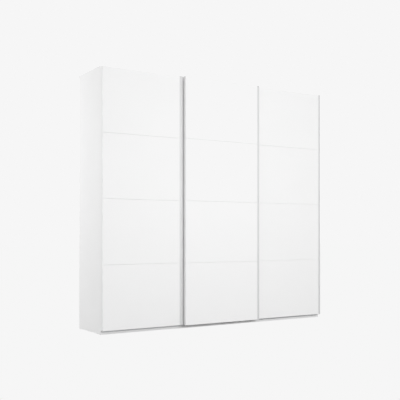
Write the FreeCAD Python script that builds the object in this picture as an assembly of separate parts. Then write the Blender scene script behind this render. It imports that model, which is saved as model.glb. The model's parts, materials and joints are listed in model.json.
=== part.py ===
import FreeCAD, Part
import os

# Three-door sliding wardrobe. Millimetres, +X to the right, +Y to the back, +Z up.
# The origin is on the floor, in the middle of the width and of the whole depth

WIDTH = 2500.0
HEIGHT = 2360.0
DEPTH = 570.0
FRONT_Y = -DEPTH / 2
BACK_Y = DEPTH / 2

# Carcass boards
SIDE_T = 22.0
BOARD_T = 18.0
BACK_T = 3.0
BACK_RECESS = 8.0
EDGE_R = 1.0
CARCASS_FRONT_Y = -192.0
PLINTH_H = 72.0
GLIDE_H = 3.0
TOP_RECESS = 60.0
SHELF_SET_BACK = 22.0
SHELF_UNDER_Z = 1960.0
SHELF_GAP = 1.0

# Doors
DOOR_W = 850.0
DOOR_BOTTOM_Z = 36.0
DOOR_TOP_Z = 2350.0
CORE_T = 28.0
PANEL_T = 6.0
DOOR_T = CORE_T + PANEL_T
PANELS = ("bottom", "lower", "upper", "top")
PANEL_JOINT = 0.9
DOOR_STEP = 40.0
MIDDLE_SHIFT = -8.0
PANEL_EDGE_R = 1.0

# Grip strips: aluminium profiles along the right-hand edge of each door. The left door's strip
# is wider and stands in from the edge by what the middle door covers
STRIP_W = 24.0
INSET_STRIP_W = 40.0
STRIP_SHEET = 1.5
STRIP_LIP = 4.0
GRIP_GROOVE_W = 13.0
GRIP_GROOVE_D = 2.4
STRIP_BACK_W = 12.0

# Top running rail, hangers and wheels
RAIL_BASE_T = 5.0
RAIL_FRONT_Y = -190.0
RAIL_BACK_Y = -92.0
RIB_W = 4.0
RIB_H = 10.0
RIB_SINK = 2.0
RIB_CREST_R = 1.2
OUTER_TRACK_Y = -165.0
MIDDLE_TRACK_Y = -115.0
WHEEL_W = 14.0
WHEEL_R = 15.0
WHEEL_ROOT_R = 11.0
WHEEL_GROOVE_W = 5.0
WHEEL_RUN_GAP = 0.1
AXLE_R = 4.0
AXLE_GAP = 0.05
AXLE_HEAD_R = 6.8
HANGER_T = 3.0
HANGER_BEND_R = 2.5
HANGER_W = 60.0
HANGER_PLATE_H = 120.0
HANGER_SPREAD = 280.0
HANGER_SIDE_GAP = 1.5
HANGER_SCREW_DROP = 90.0
HANGER_BELOW_AXLE = 10.0
OUTER_HANGER_TOP_Z = 2348.0
MIDDLE_HANGER_TOP_Z = 2357.0
BUFFER_L = 24.0
BUFFER_GAP = 1.0

# Bottom rail and guides. The middle door's guides pass below the outer doors
GUIDE_BASE_TOP_Z = 22.0
GUIDE_BASE_DEPTH = 20.0
GUIDE_RIB_W = 3.0
GUIDE_RIB_SINK = 6.0
GUIDE_RIB_TOP_Z = 29.0
OUTER_RIB_Y = -198.0
MIDDLE_RIB_Y = -209.0
GUIDE_W = 50.0
GUIDE_CLEAR = 0.5
GUIDE_JAW_T = 3.0
GUIDE_JAW_LOW_Z = 23.0
GUIDE_ARM_T = 4.5
OUTER_ARM_LOW_Z = 38.0
MIDDLE_ARM_LOW_Z = 29.5
GUIDE_PLATE_TOP_Z = 90.0
GUIDE_SCREW_Z = 80.0
RAIL_SCREWS = 6
RAIL_SCREW_L = 28.0
RAIL_SCREW_Z = 9.0

# Filler strips on the side panels' front edges, close behind the outer doors
FILLER_GAP = 1.0

# Hanging rails
TUBE_R = 12.5
TUBE_WALL = 1.5
TUBE_Z = 1895.0
TUBE_Y = 45.0
SOCKET_R = 17.0
SOCKET_DEPTH = 12.0
SOCKET_BASE = 3.0
SOCKET_FIT = 0.1

# Fixings
SCREW_R = 2.0
SCREW_L = 14.0
SCREW_HEAD_R = 4.0
SCREW_HEAD_T = 1.5
SCREW_SLOT_REACH = 2.4
SCREW_SLOT_W = 1.0
SCREW_SLOT_D = 0.8
CAM_R = 7.5
CAM_DEPTH = 12.0
CAM_SLOT_REACH = 5.25
CAM_SLOT_W = 2.0
CAM_SLOT_D = 1.6
CAM_FROM_EDGE = 34.0
CAM_BOLT_R = 3.0
CAM_BOLT_ANCHOR = 10.0
CAM_BOLT_GAP = 1.0
CAM_ROWS_Y = (-120.0, 205.0)
PIN_R = 2.5
PIN_L = 16.0
PIN_ROWS_Y = (-130.0, 240.0)
PIN_PITCH = 32.0
SPARE_PIN_STEPS = (-3, -2, -1, 1, 2, 3)
GLIDE_R = 10.0
GLIDE_NAIL_R = 1.5
GLIDE_NAIL_L = 12.0
BRACKET_X = 800.0
BRACKET_W = 40.0
BRACKET_LEG = 50.0
BRACKET_T = 2.5
BRACKET_HOLE_R = 3.25
BRACKET_HOLE_H = 30.0

# Derived places
SIDE_INNER_X = WIDTH / 2 - SIDE_T
BOARD_BACK_Y = BACK_Y - BACK_RECESS - BACK_T
BOTTOM_UNDER_Z = GLIDE_H + PLINTH_H
BOTTOM_TOP_Z = BOTTOM_UNDER_Z + BOARD_T
TOP_UPPER_Z = HEIGHT - TOP_RECESS
TOP_UNDER_Z = TOP_UPPER_Z - BOARD_T
BAY_W = (2 * SIDE_INNER_X - 2 * BOARD_T) / 3
PARTITION_X = (BAY_W + BOARD_T) / 2
OUTER_DOOR_Y = FRONT_Y + DOOR_STEP
BAYS = {
    "left": (-SIDE_INNER_X, -SIDE_INNER_X + BAY_W),
    "middle": (-BAY_W / 2, BAY_W / 2),
    "right": (SIDE_INNER_X - BAY_W, SIDE_INNER_X),
}
RIB_TOP_Z = TOP_UPPER_Z + RAIL_BASE_T + RIB_H
WHEEL_Z = RIB_TOP_Z + WHEEL_RUN_GAP + WHEEL_ROOT_R

X_AXIS = FreeCAD.Vector(1, 0, 0)
Y_AXIS = FreeCAD.Vector(0, 1, 0)
Z_AXIS = FreeCAD.Vector(0, 0, 1)

nodes = {}


def block(x, y, z):
    """A box from three (low, high) pairs."""
    size = [pair[1] - pair[0] for pair in (x, y, z)]
    return Part.makeBox(*size, FreeCAD.Vector(x[0], y[0], z[0]))


def rounded(shape, radius):
    """The shape with every edge rounded."""
    return shape.makeFillet(radius, shape.Edges)


def board(x, y, z):
    """A board with banded, lightly rounded edges."""
    return rounded(block(x, y, z), EDGE_R)


def rod(radius, start, direction, length):
    return Part.makeCylinder(radius, length, start, direction)


def fused(shapes):
    """One solid from touching shapes."""
    whole = shapes[0].fuse(shapes[1:]).removeSplitter()
    return whole.Solids[0]


def prism_along_z(points, z_low, z_high):
    """A solid whose outline in X and Y is the closed polygon of points."""
    corners = [FreeCAD.Vector(x, y, z_low) for x, y in points]
    wire = Part.makePolygon(corners + corners[:1])
    return Part.Face(wire).extrude(Z_AXIS * (z_high - z_low))


def slot_cutter(corner, along, side, depth):
    """A rectangular cutter from its corner, its two edges and its depth, all vectors."""
    outline = [corner, corner + along, corner + along + side, corner + side, corner]
    return Part.Face(Part.makePolygon(outline)).extrude(depth)


def screw(under_head, direction, length=SCREW_L):
    """A cross-head screw: under_head is where its head rests, direction points along its shank."""
    shank = rod(SCREW_R, under_head, direction, length)
    head = rod(SCREW_HEAD_R, under_head - direction * SCREW_HEAD_T, direction, SCREW_HEAD_T)
    whole = fused([head, shank])
    across = X_AXIS if abs(direction.x) < 0.5 else Y_AXIS
    other = direction.cross(across)
    top = under_head - direction * SCREW_HEAD_T
    for along, side in ((across, other), (other, across)):
        corner = top - along * SCREW_SLOT_REACH - side * (SCREW_SLOT_W / 2)
        edges = (along * (2 * SCREW_SLOT_REACH), side * SCREW_SLOT_W)
        whole = whole.cut(slot_cutter(corner, *edges, direction * SCREW_SLOT_D))
    return whole.Solids[0]


def cam_fitting(joint, into, cam_axis):
    """A cam and its bolt. The bolt crosses the joint, and the cam sits in the board that into points to."""
    bolt_length = CAM_BOLT_ANCHOR + CAM_FROM_EDGE - CAM_R - CAM_BOLT_GAP
    bolt = rod(CAM_BOLT_R, joint - into * CAM_BOLT_ANCHOR, into, bolt_length)
    cam_start = joint + into * CAM_FROM_EDGE - cam_axis * (BOARD_T / 2)
    cam = rod(CAM_R, cam_start, cam_axis, CAM_DEPTH)
    side = into.cross(cam_axis)
    corner = cam_start - into * CAM_SLOT_REACH - side * (CAM_SLOT_W / 2)
    edges = (into * (2 * CAM_SLOT_REACH), side * CAM_SLOT_W)
    slot = slot_cutter(corner, *edges, cam_axis * CAM_SLOT_D)
    return [cam.cut(slot).Solids[0], bolt]


def drilled(names, tools):
    """Cuts real pockets for the fixings into the named nodes."""
    for name in names:
        nodes[name] = [solid.cut(tools).Solids[0] for solid in nodes[name]]


def make_carcass_boards():
    depth = (CARCASS_FRONT_Y, BOARD_BACK_Y)
    side_depth = (CARCASS_FRONT_Y, BACK_Y)
    upright = (GLIDE_H, HEIGHT)
    nodes["side_panel_left"] = [board((-WIDTH / 2, -SIDE_INNER_X), side_depth, upright)]
    nodes["side_panel_right"] = [board((SIDE_INNER_X, WIDTH / 2), side_depth, upright)]
    across = (-SIDE_INNER_X, SIDE_INNER_X)
    nodes["bottom_board"] = [board(across, depth, (BOTTOM_UNDER_Z, BOTTOM_TOP_Z))]
    nodes["top_board"] = [board(across, depth, (TOP_UNDER_Z, TOP_UPPER_Z))]
    plinth_z = (GLIDE_H, BOTTOM_UNDER_Z)
    front = (CARCASS_FRONT_Y, CARCASS_FRONT_Y + BOARD_T)
    rear = (BOARD_BACK_Y - BOARD_T, BOARD_BACK_Y)
    nodes["plinth_front"] = [board(across, front, plinth_z)]
    nodes["plinth_rear"] = [board(across, rear, plinth_z)]
    for name, centre in (("left", -PARTITION_X), ("right", PARTITION_X)):
        x = (centre - BOARD_T / 2, centre + BOARD_T / 2)
        nodes["partition_" + name] = [board(x, depth, (BOTTOM_TOP_Z, TOP_UNDER_Z))]


def make_back_panels():
    """Thin panels that meet behind the partitions."""
    joints = (-SIDE_INNER_X, -PARTITION_X, PARTITION_X, SIDE_INNER_X)
    for index, name in enumerate(BAYS):
        x = (joints[index] + SHELF_GAP / 2, joints[index + 1] - SHELF_GAP / 2)
        z = (BOTTOM_UNDER_Z - PLINTH_H / 2, TOP_UPPER_Z - SHELF_GAP)
        nodes["back_panel_" + name] = [block(x, (BOARD_BACK_Y, BACK_Y - BACK_RECESS), z)]


def make_fillers():
    """Strips that close the gap between the side panels and the outer doors."""
    y = (OUTER_DOOR_Y + DOOR_T + FILLER_GAP, CARCASS_FRONT_Y)
    z = (GUIDE_BASE_TOP_Z, DOOR_TOP_Z)
    sides = ((-WIDTH / 2, -SIDE_INNER_X), (SIDE_INNER_X, WIDTH / 2))
    nodes["side_filler_strips"] = [board(x, y, z) for x in sides]


def make_shelves():
    """A hat shelf in each bay on four pins, with rows of spare pin holes above and below it."""
    pins = []
    y = (CARCASS_FRONT_Y + SHELF_SET_BACK, BOARD_BACK_Y - SHELF_GAP)
    z = (SHELF_UNDER_Z, SHELF_UNDER_Z + BOARD_T)
    for name, bay in BAYS.items():
        x = (bay[0] + SHELF_GAP, bay[1] - SHELF_GAP)
        nodes["hat_shelf_" + name] = [board(x, y, z)]
        for pin_y in PIN_ROWS_Y:
            for wall_x in bay:
                start = FreeCAD.Vector(wall_x - PIN_L / 2, pin_y, SHELF_UNDER_Z - PIN_R)
                pins.append(rod(PIN_R, start, X_AXIS, PIN_L))
    nodes["shelf_pins"] = pins
    spare = [pin.translated(Z_AXIS * (step * PIN_PITCH)) for pin in pins for step in SPARE_PIN_STEPS]
    walls = ("side_panel_left", "side_panel_right", "partition_left", "partition_right")
    drilled(walls, pins + spare)


def make_hanging_rails():
    """A round tube in each bay, held in a cup at each end."""
    tubes, cups = [], []
    for bay in BAYS.values():
        start = FreeCAD.Vector(bay[0] + SOCKET_BASE, TUBE_Y, TUBE_Z)
        length = BAY_W - 2 * SOCKET_BASE
        bore = rod(TUBE_R - TUBE_WALL, start, X_AXIS, length)
        tubes.append(rod(TUBE_R, start, X_AXIS, length).cut(bore).Solids[0])
        for wall_x, inward in ((bay[0], X_AXIS), (bay[1], X_AXIS * -1)):
            wall = FreeCAD.Vector(wall_x, TUBE_Y, TUBE_Z)
            cup = rod(SOCKET_R, wall, inward, SOCKET_DEPTH)
            cup = cup.makeFillet(EDGE_R, [e for e in cup.Edges if e.BoundBox.XLength < 1])
            hollow_start = wall + inward * SOCKET_BASE
            hollow = rod(TUBE_R + SOCKET_FIT, hollow_start, inward, SOCKET_DEPTH)
            cups.append(cup.cut(hollow).Solids[0])
    nodes["hanging_rails"] = tubes
    nodes["hanging_rail_sockets"] = cups


def make_cam_fittings():
    """Cams and bolts that hold the top and bottom boards, the side panels and the partitions together."""
    fittings = []
    for y in CAM_ROWS_Y:
        for under in (BOTTOM_UNDER_Z, TOP_UNDER_Z):
            height = under + BOARD_T / 2
            for side in (-1, 1):
                joint = FreeCAD.Vector(side * SIDE_INNER_X, y, height)
                fittings += cam_fitting(joint, X_AXIS * -side, Z_AXIS)
        for x in (-PARTITION_X, PARTITION_X):
            fittings += cam_fitting(FreeCAD.Vector(x, y, TOP_UNDER_Z), Z_AXIS * -1, X_AXIS)
            fittings += cam_fitting(FreeCAD.Vector(x, y, BOTTOM_TOP_Z), Z_AXIS, X_AXIS)
    nodes["cam_fittings"] = fittings
    boards = ("side_panel_left", "side_panel_right", "top_board", "bottom_board")
    drilled(boards + ("partition_left", "partition_right"), fittings)


def make_glides():
    """Nail-on glides under the side panels and both plinths."""
    side_x = WIDTH / 2 - SIDE_T / 2
    places = []
    for x in (-side_x, side_x):
        places += [(x, CARCASS_FRONT_Y + 2 * GLIDE_R), (x, BACK_Y - 2 * GLIDE_R)]
    for x in (-PARTITION_X, PARTITION_X):
        places += [(x, CARCASS_FRONT_Y + BOARD_T / 2), (x, BOARD_BACK_Y - BOARD_T / 2)]
    glides = []
    for x, y in places:
        radius = min(GLIDE_R, BOARD_T / 2 - EDGE_R)
        foot = rod(radius, FreeCAD.Vector(x, y, 0), Z_AXIS, GLIDE_H)
        foot = foot.makeFillet(EDGE_R, [e for e in foot.Edges if e.BoundBox.ZMax < EDGE_R])
        nail = rod(GLIDE_NAIL_R, FreeCAD.Vector(x, y, GLIDE_H), Z_AXIS, GLIDE_NAIL_L)
        glides.append(fused([foot, nail]))
    nodes["floor_glides"] = glides
    drilled(("side_panel_left", "side_panel_right", "plinth_front", "plinth_rear"), glides)


def make_top_rail():
    """The running rail: a flat base on the top board and one round-topped rib per track."""
    x = (-SIDE_INNER_X, SIDE_INNER_X)
    base_top = TOP_UPPER_Z + RAIL_BASE_T
    ribs = []
    for track_y in (OUTER_TRACK_Y, MIDDLE_TRACK_Y):
        rib_y = (track_y - RIB_W / 2, track_y + RIB_W / 2)
        rib = block(x, rib_y, (base_top - RIB_SINK, RIB_TOP_Z))
        crests = [e for e in rib.Edges if e.BoundBox.ZMin > RIB_TOP_Z - 1 and e.Length > WIDTH / 2]
        ribs.append(rib.makeFillet(RIB_CREST_R, crests))
    base = block(x, (RAIL_FRONT_Y, RAIL_BACK_Y), (TOP_UPPER_Z, base_top))
    nodes["top_rail_base"] = [base.cut(ribs).Solids[0]]
    nodes["top_rail_ribs"] = ribs


def make_bottom_rail():
    """The guide rail: a base strip before the carcass, which shows below the doors, and two ribs in it."""
    ribs = []
    for rib_y in (OUTER_RIB_Y, MIDDLE_RIB_Y):
        y = (rib_y - GUIDE_RIB_W / 2, rib_y + GUIDE_RIB_W / 2)
        z = (GUIDE_BASE_TOP_Z - GUIDE_RIB_SINK, GUIDE_RIB_TOP_Z)
        ribs.append(block((-SIDE_INNER_X, SIDE_INNER_X), y, z))
    base_y = (CARCASS_FRONT_Y - GUIDE_BASE_DEPTH, CARCASS_FRONT_Y)
    base = board((-WIDTH / 2, WIDTH / 2), base_y, (GLIDE_H, GUIDE_BASE_TOP_Z))
    nodes["bottom_rail_base"] = [base.cut(ribs).Solids[0]]
    nodes["bottom_rail_ribs"] = ribs


def make_buffers():
    """Rubber stops on the top rail, at the end of both tracks."""
    reach = WIDTH / 2 - DOOR_W / 2 + HANGER_SPREAD + HANGER_W / 2 + BUFFER_GAP
    base_top = TOP_UPPER_Z + RAIL_BASE_T
    buffers = []
    for track_y in (OUTER_TRACK_Y, MIDDLE_TRACK_Y):
        plate_y = track_y + WHEEL_W / 2 + HANGER_SIDE_GAP
        y = (plate_y - 1, plate_y + HANGER_T + 1)
        for x in ((-reach - BUFFER_L, -reach), (reach, reach + BUFFER_L)):
            buffers.append(rounded(block(x, y, (base_top, WHEEL_Z)), EDGE_R))
    nodes["end_buffers"] = buffers


def make_wall_brackets():
    """Steel angles on the top board that hold the wardrobe to a wall."""
    brackets = []
    for centre in (-BRACKET_X, BRACKET_X):
        x = (centre - BRACKET_W / 2, centre + BRACKET_W / 2)
        flat_y = (BOARD_BACK_Y - BRACKET_LEG, BACK_Y)
        flat = block(x, flat_y, (TOP_UPPER_Z, TOP_UPPER_Z + BRACKET_T))
        up = block(x, (BACK_Y - BRACKET_T, BACK_Y), (TOP_UPPER_Z, TOP_UPPER_Z + BRACKET_LEG))
        hole_at = FreeCAD.Vector(centre, BACK_Y - 2 * BRACKET_T, TOP_UPPER_Z + BRACKET_HOLE_H)
        hole = rod(BRACKET_HOLE_R, hole_at, Y_AXIS, 3 * BRACKET_T)
        brackets.append(fused([flat, up]).cut(hole).Solids[0])
    nodes["wall_brackets"] = brackets


def make_carcass_screws():
    """Screws of the wall brackets and of both rails."""
    down = Z_AXIS * -1
    screws = []
    for centre in (-BRACKET_X, BRACKET_X):
        for side in (-1, 1):
            x = centre + side * BRACKET_W / 4
            place = FreeCAD.Vector(x, BOARD_BACK_Y - BRACKET_LEG / 2, TOP_UPPER_Z + BRACKET_T)
            screws.append(screw(place, down))
    rail_y = (OUTER_TRACK_Y + MIDDLE_TRACK_Y) / 2
    for index in range(RAIL_SCREWS):
        x = (index / (RAIL_SCREWS - 1) - 0.5) * (2 * SIDE_INNER_X - 2 * HANGER_W)
        screws.append(screw(FreeCAD.Vector(x, rail_y, TOP_UPPER_Z + RAIL_BASE_T), down))
        behind_plinth = FreeCAD.Vector(x, CARCASS_FRONT_Y + BOARD_T, RAIL_SCREW_Z)
        screws.append(screw(behind_plinth, Y_AXIS * -1, RAIL_SCREW_L))
    nodes["carcass_screws"] = screws
    held = ("wall_brackets", "top_rail_base", "bottom_rail_base", "top_board", "plinth_front")
    drilled(held, screws)


def strip_face(inner_x, front_y):
    """The face of a grip strip as points from left to right: a lip, a finger groove and a flat."""
    groove = (inner_x + STRIP_LIP, inner_x + STRIP_LIP + GRIP_GROOVE_W)
    slope = GRIP_GROOVE_D / 2
    return [
        (inner_x, front_y),
        (groove[0], front_y),
        (groove[0] + slope, front_y + GRIP_GROOVE_D),
        (groove[1] - slope, front_y + GRIP_GROOVE_D),
        (groove[1], front_y),
    ]


def edge_strip(right_x, front_y, z):
    """A grip strip that also wraps the door's right-hand edge."""
    inner_x = right_x - STRIP_W
    seat_y = front_y + PANEL_T
    back_y = front_y + DOOR_T
    outline = strip_face(inner_x, front_y) + [
        (right_x, front_y),
        (right_x, back_y),
        (right_x - STRIP_BACK_W, back_y),
        (right_x - STRIP_BACK_W, back_y - STRIP_SHEET),
        (right_x - STRIP_SHEET, back_y - STRIP_SHEET),
        (right_x - STRIP_SHEET, seat_y),
        (inner_x, seat_y),
    ]
    return prism_along_z(outline, *z)


def inset_strip(right_x, front_y, z):
    """A grip strip that lies on the core board, between the front panels and the covered edge."""
    seat_y = front_y + PANEL_T
    inner_x = right_x - INSET_STRIP_W
    outline = strip_face(inner_x, front_y) + [
        (right_x, front_y),
        (right_x, seat_y),
        (inner_x, seat_y),
    ]
    return prism_along_z(outline, *z)


def hanger(centre_x, door_back_y, track_y, arm_top_z):
    """A bent steel plate: up the door's back, over to the track, and down behind the wheel."""
    x = (centre_x - HANGER_W / 2, centre_x + HANGER_W / 2)
    plate_y = (door_back_y, door_back_y + HANGER_T)
    plate = block(x, plate_y, (DOOR_TOP_Z - HANGER_PLATE_H, arm_top_z))
    carriage_y = track_y + WHEEL_W / 2 + HANGER_SIDE_GAP
    arm_z = (arm_top_z - HANGER_T, arm_top_z)
    arm = block(x, (door_back_y, carriage_y + HANGER_T), arm_z)
    drop_z = (WHEEL_Z - HANGER_BELOW_AXLE, arm_top_z)
    drop = block(x, (carriage_y, carriage_y + HANGER_T), drop_z)
    whole = fused([plate, arm, drop])
    top_edges = [e for e in whole.Edges if e.BoundBox.ZMin > arm_top_z - 1]
    bends = [e for e in top_edges if e.BoundBox.XLength > HANGER_W / 2]
    return whole.makeFillet(HANGER_BEND_R, bends)


def axle_bolt(centre_x, track_y):
    """A shoulder bolt that carries one wheel and ends in the hanger's rear plate."""
    front_y = track_y - WHEEL_W / 2 - HANGER_SIDE_GAP
    back_y = track_y + WHEEL_W / 2 + HANGER_SIDE_GAP + HANGER_T
    start = FreeCAD.Vector(centre_x, front_y, WHEEL_Z)
    shaft = rod(AXLE_R, start, Y_AXIS, back_y - front_y)
    head = rod(AXLE_HEAD_R, start - Y_AXIS * HANGER_T, Y_AXIS, HANGER_T)
    return fused([head, shaft])


def wheel(centre_x, track_y):
    """A grooved wheel that straddles its rib."""
    root_y = WHEEL_GROOVE_W / 2
    half = WHEEL_W / 2
    flare = WHEEL_R - WHEEL_ROOT_R
    section = [
        (AXLE_R + AXLE_GAP, -half),
        (WHEEL_R - EDGE_R, -half),
        (WHEEL_R, -half + EDGE_R),
        (WHEEL_R, -root_y - flare / 3),
        (WHEEL_ROOT_R, -root_y),
        (WHEEL_ROOT_R, root_y),
        (WHEEL_R, root_y + flare / 3),
        (WHEEL_R, half - EDGE_R),
        (WHEEL_R - EDGE_R, half),
        (AXLE_R + AXLE_GAP, half),
    ]
    corners = [FreeCAD.Vector(centre_x + r, track_y + y, WHEEL_Z) for r, y in section]
    face = Part.Face(Part.makePolygon(corners + corners[:1]))
    return face.revolve(FreeCAD.Vector(centre_x, track_y, WHEEL_Z), Y_AXIS, 360)


def guide(centre_x, door_back_y, rib_y, arm_low_z):
    """A moulded guide: a plate on the door's back, an arm, and a fork that straddles its rib."""
    x = (centre_x - GUIDE_W / 2, centre_x + GUIDE_W / 2)
    half_slot = GUIDE_RIB_W / 2 + GUIDE_CLEAR
    slot_y = (rib_y - half_slot, rib_y + half_slot)
    fork_y = (slot_y[0] - GUIDE_JAW_T, slot_y[1] + GUIDE_JAW_T)
    arm_top_z = arm_low_z + GUIDE_ARM_T
    plate = block(x, (door_back_y, door_back_y + HANGER_T), (arm_low_z, GUIDE_PLATE_TOP_Z))
    arm = block(x, (door_back_y, fork_y[1]), (arm_low_z, arm_top_z))
    fork = block(x, fork_y, (GUIDE_JAW_LOW_Z, arm_top_z))
    slot = block(x, slot_y, (GUIDE_JAW_LOW_Z, GUIDE_RIB_TOP_Z + GUIDE_CLEAR))
    return fused([plate, arm, fork]).cut(slot).Solids[0]


def make_door(name, left_x, front_y, covered, track_y, hanger_top_z, rib_y, guide_arm_z):
    """One door: core board, four front panels, grip strip, hangers, wheels, guides and their fixings."""
    right_x = left_x + DOOR_W
    centre_x = (left_x + right_x) / 2
    back_y = front_y + DOOR_T
    z = (DOOR_BOTTOM_Z, DOOR_TOP_Z)
    if covered:
        strip = inset_strip(right_x - covered, front_y, z)
    else:
        strip = edge_strip(right_x, front_y, z)
    nodes[name + "_grip_strip"] = [strip]
    core_x = (left_x, right_x if covered else right_x - STRIP_SHEET)
    core = rounded(block(core_x, (front_y + PANEL_T, back_y), z), PANEL_EDGE_R)
    nodes[name + "_board"] = [core.cut(strip).Solids[0]]
    pitch = (DOOR_TOP_Z - DOOR_BOTTOM_Z + PANEL_JOINT) / len(PANELS)
    for index, place in enumerate(PANELS):
        low = DOOR_BOTTOM_Z + index * pitch
        panel_x = (left_x, strip.BoundBox.XMin)
        panel = block(panel_x, (front_y, front_y + PANEL_T), (low, low + pitch - PANEL_JOINT))
        nodes[name + "_panel_" + place] = [rounded(panel, PANEL_EDGE_R)]
    hangers, fixings, guides = [], [], []
    forward = Y_AXIS * -1
    for side, word in ((-1, "left"), (1, "right")):
        x = centre_x + side * HANGER_SPREAD
        hangers.append(hanger(x, back_y, track_y, hanger_top_z))
        nodes[name + "_wheel_" + word] = [wheel(x, track_y)]
        fixings.append(axle_bolt(x, track_y))
        guides.append(guide(x, back_y, rib_y, guide_arm_z))
        for offset in (-HANGER_W / 4, HANGER_W / 4):
            for height in (DOOR_TOP_Z - HANGER_SCREW_DROP, GUIDE_SCREW_Z):
                fixings.append(screw(FreeCAD.Vector(x + offset, back_y + HANGER_T, height), forward))
    nodes[name + "_hangers"] = hangers
    nodes[name + "_guides"] = guides
    nodes[name + "_fixings"] = fixings
    drilled((name + "_hangers", name + "_guides", name + "_board"), fixings)


def make_doors():
    left_x = -WIDTH / 2
    right_x = WIDTH / 2 - DOOR_W
    middle_x = -DOOR_W / 2 + MIDDLE_SHIFT
    covered = left_x + DOOR_W - middle_x
    outer_gear = (OUTER_TRACK_Y, OUTER_HANGER_TOP_Z, OUTER_RIB_Y, OUTER_ARM_LOW_Z)
    middle_gear = (MIDDLE_TRACK_Y, MIDDLE_HANGER_TOP_Z, MIDDLE_RIB_Y, MIDDLE_ARM_LOW_Z)
    make_door("left_door", left_x, OUTER_DOOR_Y, covered, *outer_gear)
    make_door("right_door", right_x, OUTER_DOOR_Y, 0, *outer_gear)
    make_door("middle_door", middle_x, FRONT_Y, 0, *middle_gear)


def write_parts():
    os.makedirs("parts", exist_ok=True)
    for name, solids in nodes.items():
        shape = solids[0] if len(solids) == 1 else Part.makeCompound(solids)
        shape.exportStep("parts/" + name + ".step")


make_carcass_boards()
make_back_panels()
make_fillers()
make_shelves()
make_hanging_rails()
make_cam_fittings()
make_glides()
make_top_rail()
make_bottom_rail()
make_buffers()
make_wall_brackets()
make_carcass_screws()
make_doors()
write_parts()
print(len(nodes), "nodes")
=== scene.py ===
import json
import math

import bmesh
import bpy
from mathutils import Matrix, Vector


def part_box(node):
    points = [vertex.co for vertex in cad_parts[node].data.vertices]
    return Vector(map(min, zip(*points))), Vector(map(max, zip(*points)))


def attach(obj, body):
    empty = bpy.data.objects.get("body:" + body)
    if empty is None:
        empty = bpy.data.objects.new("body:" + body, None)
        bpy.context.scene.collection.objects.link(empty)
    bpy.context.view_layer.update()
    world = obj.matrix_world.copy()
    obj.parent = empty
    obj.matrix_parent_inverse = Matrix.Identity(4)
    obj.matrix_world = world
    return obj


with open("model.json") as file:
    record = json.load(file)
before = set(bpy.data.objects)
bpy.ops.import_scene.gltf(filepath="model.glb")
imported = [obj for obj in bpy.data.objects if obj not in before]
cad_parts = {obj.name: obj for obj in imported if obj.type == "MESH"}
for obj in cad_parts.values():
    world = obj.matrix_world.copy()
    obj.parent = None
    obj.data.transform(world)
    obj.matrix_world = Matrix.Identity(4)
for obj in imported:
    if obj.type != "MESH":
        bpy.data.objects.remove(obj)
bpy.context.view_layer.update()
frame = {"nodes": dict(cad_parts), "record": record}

# Where the camera stands, in metres, and how it looks at the wardrobe: level, with a shift upwards
CAMERA_AT = (-3.769, -5.865, 0.8945)
CAMERA_TURN = math.radians(-32.05)
CAMERA_LENS = 63.12
CAMERA_SENSOR = 36.0
CAMERA_SHIFT_Y = 0.0821
CAMERA_REACH = 100.0

# Each light's place, aim and size in metres, and its power in watts
LIGHTS = {
    "key": ((0.25, -5.0, 1.6), (0.25, 0.0, 1.6), (3.4, 1.8), 97),
    "left_fill": ((-4.2, 2.6, 1.9), (-1.25, 0.2, 1.3), (1.5, 1.5), 66),
}
WORLD_STRENGTH = 1.0

# The palest tone the picture shows: backdrop, floor and the brightest fronts end there
PALEST = 0.9216
# Of the view's four tone curves, the one that acts on all colours
COMBINED_CURVE = 3
FLOOR_PAINT = 0.18
FLOOR_REACH = 40.0
WHITE = (1.0, 1.0, 1.0, 1.0)

# The part of a noise's range that most of its values lie in
NOISE_LOW = 0.3
NOISE_HIGH = 0.7

# Bevels on sharp edges, in metres, by finish
BEVEL_WIDTHS = {
    "front_lacquer": 0.0005,
    "door_core": 0.0005,
    "outer_board": 0.0006,
    "inner_board": 0.0005,
    "aluminium_strip": 0.0004,
    "zinc_steel": 0.0004,
    "nylon": 0.0004,
}
BEVEL_SEGMENTS = 2
SHARP_ANGLE = math.radians(60)
WELD_DISTANCE = 0.00001

# Small pieces, in metres. Rings are (radius, height) pairs of a turned shape
BACK_STRIP_HALF_W = 0.011
BACK_STRIP_T = 0.0014
STRIP_STEPS = 12
NAIL_PITCH = 0.13
JOINT_NAIL_PITCH = 2 * NAIL_PITCH
NAIL_RINGS = ((0.0030, 0.0), (0.0030, 0.0003), (0.0026, 0.0006), (0.0012, 0.0008))
ROUND_SIDES = 20
CAP_INSET = 0.0002
CAP_T = 0.001
CAP_CORNER_R = 0.002
CAP_CORNER_STEPS = 5
NUT_RINGS = ((0.0062, 0.0), (0.0068, 0.0006), (0.0068, 0.0042), (0.0062, 0.0048))
NUT_SIDES = 6


def make_camera():
    data = bpy.data.cameras.new("camera")
    data.lens = CAMERA_LENS
    data.sensor_width = CAMERA_SENSOR
    data.shift_y = CAMERA_SHIFT_Y
    data.clip_end = CAMERA_REACH
    camera = bpy.data.objects.new("camera", data)
    camera.location = CAMERA_AT
    camera.rotation_euler = (math.radians(90), 0, CAMERA_TURN)
    bpy.context.scene.collection.objects.link(camera)
    bpy.context.scene.camera = camera


def area_light(name, place, aim, size, power):
    data = bpy.data.lights.new(name, "AREA")
    data.shape = "RECTANGLE"
    data.size, data.size_y = size
    data.energy = power
    light = bpy.data.objects.new(name, data)
    light.location = place
    direction = Vector(aim) - Vector(place)
    light.rotation_euler = direction.to_track_quat("-Z", "Y").to_euler()
    bpy.context.scene.collection.objects.link(light)


def make_world():
    """A plain white studio, which gives most of the light."""
    world = bpy.data.worlds.new("studio")
    world.use_nodes = True
    background = world.node_tree.nodes["Background"]
    background.inputs["Color"].default_value = WHITE
    background.inputs["Strength"].default_value = WORLD_STRENGTH
    bpy.context.scene.world = world


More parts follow.
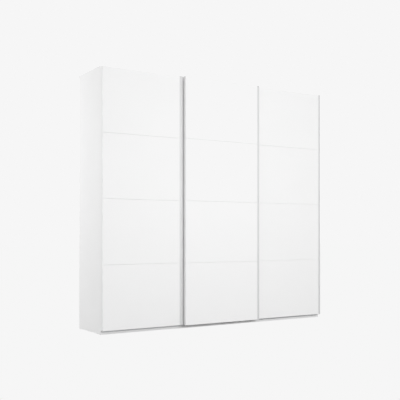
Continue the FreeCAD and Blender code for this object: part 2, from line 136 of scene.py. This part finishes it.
def make_view():
    """Plain display, with every tone above the palest one held there."""
    view = bpy.context.scene.view_settings
    view.view_transform = "Standard"
    view.look = "None"
    view.exposure = 0.0
    view.use_curve_mapping = True
    curve = view.curve_mapping.curves[COMBINED_CURVE]
    curve.points[0].location = (0.0, 0.0)
    curve.points[1].location = (1.0, PALEST)
    curve.points.new(PALEST, PALEST)
    for point in curve.points:
        point.handle_type = "VECTOR"
    view.curve_mapping.update()


def make_floor():
    mesh = bpy.data.meshes.new("floor")
    corners = [(x * FLOOR_REACH, y * FLOOR_REACH, 0) for x, y in ((-1, -1), (1, -1), (1, 1), (-1, 1))]
    mesh.from_pydata(corners, [], [(0, 1, 2, 3)])
    floor = bpy.data.objects.new("floor", mesh)
    bpy.context.scene.collection.objects.link(floor)
    mesh.materials.append(floor_material())


def floor_material():
    """Pale to the camera, and a grey paint to the light that reaches the wardrobe from it."""
    material = bpy.data.materials.new("studio_floor")
    material.use_nodes = True
    tree = material.node_tree
    tree.nodes.clear()
    output = tree.nodes.new("ShaderNodeOutputMaterial")
    mix = tree.nodes.new("ShaderNodeMixShader")
    path = tree.nodes.new("ShaderNodeLightPath")
    glow = tree.nodes.new("ShaderNodeEmission")
    glow.inputs["Color"].default_value = WHITE
    glow.inputs["Strength"].default_value = PALEST
    paint = tree.nodes.new("ShaderNodeBsdfDiffuse")
    paint.inputs["Color"].default_value = (FLOOR_PAINT, FLOOR_PAINT, FLOOR_PAINT, 1.0)
    seen, when_unseen, when_seen = mix.inputs
    tree.links.new(path.outputs["Is Camera Ray"], seen)
    tree.links.new(paint.outputs["BSDF"], when_unseen)
    tree.links.new(glow.outputs["Emission"], when_seen)
    tree.links.new(mix.outputs["Shader"], output.inputs["Surface"])
    return material


class Shader:
    """A small builder for a procedural Principled material, in object coordinates."""

    def __init__(self, name, color, roughness, metallic=0.0):
        self.material = bpy.data.materials.new(name)
        self.material.use_nodes = True
        self.tree = self.material.node_tree
        self.shader = self.tree.nodes["Principled BSDF"]
        self.shader.inputs["Base Color"].default_value = (*color, 1.0)
        self.shader.inputs["Roughness"].default_value = roughness
        self.shader.inputs["Metallic"].default_value = metallic
        self.color = color
        self.roughness = roughness
        self.place = self.tree.nodes.new("ShaderNodeTexCoord").outputs["Object"]

    def stretched(self, scale):
        node = self.tree.nodes.new("ShaderNodeMapping")
        node.inputs["Scale"].default_value = scale
        self.tree.links.new(self.place, node.inputs["Vector"])
        return node.outputs["Vector"]

    def noise(self, scale, detail=3.0, stretch=None):
        node = self.tree.nodes.new("ShaderNodeTexNoise")
        node.inputs["Scale"].default_value = scale
        node.inputs["Detail"].default_value = detail
        vector = self.stretched(stretch) if stretch else self.place
        self.tree.links.new(vector, node.inputs["Vector"])
        return node.outputs["Fac"]

    def ranged(self, source, low, high):
        """The noise, stretched to run from low to high."""
        node = self.tree.nodes.new("ShaderNodeMapRange")
        node.inputs["From Min"].default_value = NOISE_LOW
        node.inputs["From Max"].default_value = NOISE_HIGH
        node.inputs["To Min"].default_value = low
        node.inputs["To Max"].default_value = high
        self.tree.links.new(source, node.inputs["Value"])
        return node.outputs["Result"]

    def vary_color(self, source, spread):
        """Colour wanders by plus or minus spread, as a share of itself."""
        node = self.tree.nodes.new("ShaderNodeMix")
        node.data_type = "RGBA"
        dark = [c * (1 - spread) for c in self.color]
        light = [min(1.0, c * (1 + spread)) for c in self.color]
        node.inputs["A"].default_value = (*dark, 1.0)
        node.inputs["B"].default_value = (*light, 1.0)
        self.tree.links.new(self.ranged(source, 0.0, 1.0), node.inputs["Factor"])
        self.tree.links.new(node.outputs["Result"], self.shader.inputs["Base Color"])
        return self

    def vary_roughness(self, source, spread):
        result = self.ranged(source, self.roughness - spread, self.roughness + spread)
        self.tree.links.new(result, self.shader.inputs["Roughness"])
        return self

    def bump(self, source, height, strength):
        """Relief of the given height in metres."""
        node = self.tree.nodes.new("ShaderNodeBump")
        node.inputs["Strength"].default_value = strength
        node.inputs["Distance"].default_value = height
        self.tree.links.new(source, node.inputs["Height"])
        self.tree.links.new(node.outputs["Normal"], self.shader.inputs["Normal"])
        return self

    def specular(self, level):
        self.shader.inputs["Specular IOR Level"].default_value = level
        return self


def front_lacquer():
    s = Shader("front_lacquer", color=(0.905, 0.905, 0.905), roughness=0.55)
    s.vary_color(s.noise(scale=3.0), spread=0.004)
    s.vary_roughness(s.noise(scale=14.0), spread=0.03)
    return s.bump(s.noise(scale=420.0, detail=2.0), height=0.00004, strength=0.25).material


def melamine(name, color):
    s = Shader(name, color, roughness=0.62)
    s.specular(level=0.3)
    s.vary_color(s.noise(scale=6.0), spread=0.006)
    s.vary_roughness(s.noise(scale=40.0), spread=0.05)
    return s.bump(s.noise(scale=900.0, detail=4.0), height=0.00006, strength=0.35).material


def hardboard():
    s = Shader("back_hardboard", color=(0.85, 0.85, 0.845), roughness=0.62)
    s.vary_color(s.noise(scale=120.0, detail=5.0), spread=0.02)
    s.vary_roughness(s.noise(scale=60.0), spread=0.06)
    return s.bump(s.noise(scale=1200.0, detail=5.0), height=0.0001, strength=0.4).material


def anodised(name, color, roughness, metallic, stretch):
    s = Shader(name, color, roughness, metallic)
    grain = s.noise(scale=1.0, detail=4.0, stretch=stretch)
    s.vary_color(grain, spread=0.02)
    s.vary_roughness(grain, spread=0.05)
    return s.bump(grain, height=0.00002, strength=0.3).material


def zinc():
    s = Shader("zinc_steel", color=(0.62, 0.63, 0.65), roughness=0.36, metallic=0.9)
    s.vary_color(s.noise(scale=260.0, detail=4.0), spread=0.07)
    s.vary_roughness(s.noise(scale=180.0), spread=0.08)
    return s.bump(s.noise(scale=700.0), height=0.00003, strength=0.3).material


def chrome():
    s = Shader("chromed_tube", color=(0.83, 0.84, 0.85), roughness=0.08, metallic=1.0)
    s.vary_roughness(s.noise(scale=90.0, detail=4.0), spread=0.03)
    return s.bump(s.noise(scale=60.0), height=0.00001, strength=0.2).material


def moulded(name, color, roughness):
    s = Shader(name, color, roughness)
    s.vary_color(s.noise(scale=150.0), spread=0.02)
    s.vary_roughness(s.noise(scale=320.0), spread=0.06)
    return s.bump(s.noise(scale=1500.0, detail=2.0), height=0.00005, strength=0.4).material


def make_materials():
    return {
        "front_lacquer": front_lacquer(),
        "door_core": melamine("door_core", (0.88, 0.88, 0.88)),
        "outer_board": melamine("outer_board", (0.90, 0.90, 0.90)),
        "inner_board": melamine("inner_board", (0.87, 0.87, 0.868)),
        "back_hardboard": hardboard(),
        "aluminium_strip": anodised("aluminium_strip", (0.715, 0.717, 0.72), 0.5, 0.25, (900, 900, 6)),
        "aluminium_rail": anodised("aluminium_rail", (0.70, 0.71, 0.72), 0.38, 0.85, (6, 900, 900)),
        "zinc_steel": zinc(),
        "chromed_tube": chrome(),
        "nylon": moulded("nylon", (0.82, 0.82, 0.81), 0.5),
        "wheel_plastic": moulded("wheel_plastic", (0.10, 0.10, 0.105), 0.42),
        "rubber": moulded("rubber", (0.03, 0.03, 0.032), 0.75),
    }


def dress_nodes(materials):
    for subpart in frame["record"]["subparts"]:
        node = frame["nodes"][subpart["node"]]
        node.data.materials.clear()
        node.data.materials.append(materials[subpart["material_slot"]])


def soften_edges():
    """Small bevels on the boards, strips and pressed or moulded parts."""
    for subpart in frame["record"]["subparts"]:
        width = BEVEL_WIDTHS.get(subpart["material_slot"])
        if width is None:
            continue
        node = frame["nodes"][subpart["node"]]
        weld = node.modifiers.new("weld", "WELD")
        weld.merge_threshold = WELD_DISTANCE
        bevel = node.modifiers.new("edges", "BEVEL")
        bevel.width = width
        bevel.segments = BEVEL_SEGMENTS
        bevel.limit_method = "ANGLE"
        bevel.angle_limit = SHARP_ANGLE


def centre(node):
    low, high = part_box(node)
    return (low + high) / 2


def add_prism(shape, outline, lift):
    """A closed solid: the flat outline, a list of corners in order, pushed along lift."""
    bottom = [shape.verts.new(corner) for corner in outline]
    top = [shape.verts.new(Vector(corner) + Vector(lift)) for corner in outline]
    count = len(outline)
    for i in range(count):
        j = (i + 1) % count
        shape.faces.new((bottom[i], bottom[j], top[j], top[i]))
    shape.faces.new(bottom[::-1])
    shape.faces.new(top)


def add_turned(shape, foot, axis, rings, sides):
    """A closed turned solid on foot: rings are (radius, height along axis) pairs from the foot up."""
    axis = Vector(axis)
    across = axis.orthogonal().normalized()
    other = axis.cross(across)
    rows = []
    for radius, height in rings:
        row = []
        for i in range(sides):
            angle = 2 * math.pi * i / sides
            spoke = across * math.cos(angle) + other * math.sin(angle)
            row.append(shape.verts.new(Vector(foot) + spoke * radius + axis * height))
        rows.append(row)
    for lower, upper in zip(rows, rows[1:]):
        for i in range(sides):
            j = (i + 1) % sides
            shape.faces.new((lower[i], lower[j], upper[j], upper[i]))
    shape.faces.new(rows[0][::-1])
    shape.faces.new(rows[-1])


def make_piece(name, shape, body, slot, materials):
    """A new piece of the object from a bmesh, in the finish of slot, riding on body."""
    bmesh.ops.recalc_face_normals(shape, faces=shape.faces)
    mesh = bpy.data.meshes.new(name)
    shape.to_mesh(mesh)
    shape.free()
    mesh.materials.append(materials[slot])
    piece = bpy.data.objects.new(name, mesh)
    bpy.context.scene.collection.objects.link(piece)
    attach(piece, body)


def make_back_strips(materials):
    """Crowned joint strips over the two joints between the back panels."""
    shape = bmesh.new()
    steps = [i / STRIP_STEPS * 2 - 1 for i in range(STRIP_STEPS + 1)]
    low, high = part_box("back_panel_middle")
    for x in (low.x, high.x):
        crown = [(x + BACK_STRIP_HALF_W * t, BACK_STRIP_T * (1 - t ** 4)) for t in steps]
        outline = [(px, high.y + rise, low.z) for px, rise in crown]
        add_prism(shape, outline, (0, 0, high.z - low.z))
    make_piece("back_joint_strips", shape, "carcass", "nylon", materials)


def make_back_nails(materials):
    """Flat-headed nails along the top and bottom of each back panel, and down the joint strips."""
    shape = bmesh.new()
    rows = (centre("top_board").z, centre("bottom_board").z)
    for name in ("left", "middle", "right"):
        low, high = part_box("back_panel_" + name)
        count = round((high.x - low.x) / NAIL_PITCH)
        for i in range(count):
            x = low.x + (high.x - low.x) * (i + 0.5) / count
            for z in rows:
                add_turned(shape, (x, high.y, z), (0, 1, 0), NAIL_RINGS, ROUND_SIDES)
    low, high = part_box("back_panel_middle")
    count = round((high.z - low.z) / JOINT_NAIL_PITCH)
    for i in range(count):
        z = low.z + (high.z - low.z) * (i + 0.5) / count
        for x in (low.x, high.x):
            add_turned(shape, (x, high.y + BACK_STRIP_T, z), (0, 1, 0), NAIL_RINGS, ROUND_SIDES)
    make_piece("back_nails", shape, "carcass", "zinc_steel", materials)


def make_end_caps(door, materials):
    """Thin plastic caps on both ends of a door's grip strip."""
    shape = bmesh.new()
    low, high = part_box(door + "_grip_strip")
    left, right = low.x + CAP_INSET, high.x - CAP_INSET
    front, back = low.y + CAP_INSET, high.y - CAP_INSET
    for z, lift in ((high.z, CAP_T), (low.z, -CAP_T)):
        outline = []
        for x, y, start in ((right, back, 0), (left, back, 1), (left, front, 2), (right, front, 3)):
            x -= math.copysign(CAP_CORNER_R, x - (left + right) / 2)
            y -= math.copysign(CAP_CORNER_R, y - (front + back) / 2)
            for step in range(CAP_CORNER_STEPS + 1):
                angle = math.pi / 2 * (start + step / CAP_CORNER_STEPS)
                around = (x + CAP_CORNER_R * math.cos(angle), y + CAP_CORNER_R * math.sin(angle), z)
                outline.append(around)
        add_prism(shape, outline, (0, 0, lift))
    make_piece(door + "_strip_caps", shape, door, "nylon", materials)


def make_axle_nuts(door, materials):
    """A chamfered hexagon nut behind the hanger on each axle bolt."""
    shape = bmesh.new()
    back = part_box(door + "_hangers")[1].y
    for side in ("left", "right"):
        hub = centre(door + "_wheel_" + side)
        add_turned(shape, (hub.x, back, hub.z), (0, 1, 0), NUT_RINGS, NUT_SIDES)
    make_piece(door + "_axle_nuts", shape, door, "zinc_steel", materials)


make_camera()
make_view()
make_world()
for light_name, (light_place, light_aim, light_size, light_power) in LIGHTS.items():
    area_light(light_name, light_place, light_aim, light_size, light_power)
make_floor()
finishes = make_materials()
dress_nodes(finishes)
soften_edges()
make_back_strips(finishes)
make_back_nails(finishes)
for door_name in ("left_door", "middle_door", "right_door"):
    make_end_caps(door_name, finishes)
    make_axle_nuts(door_name, finishes)
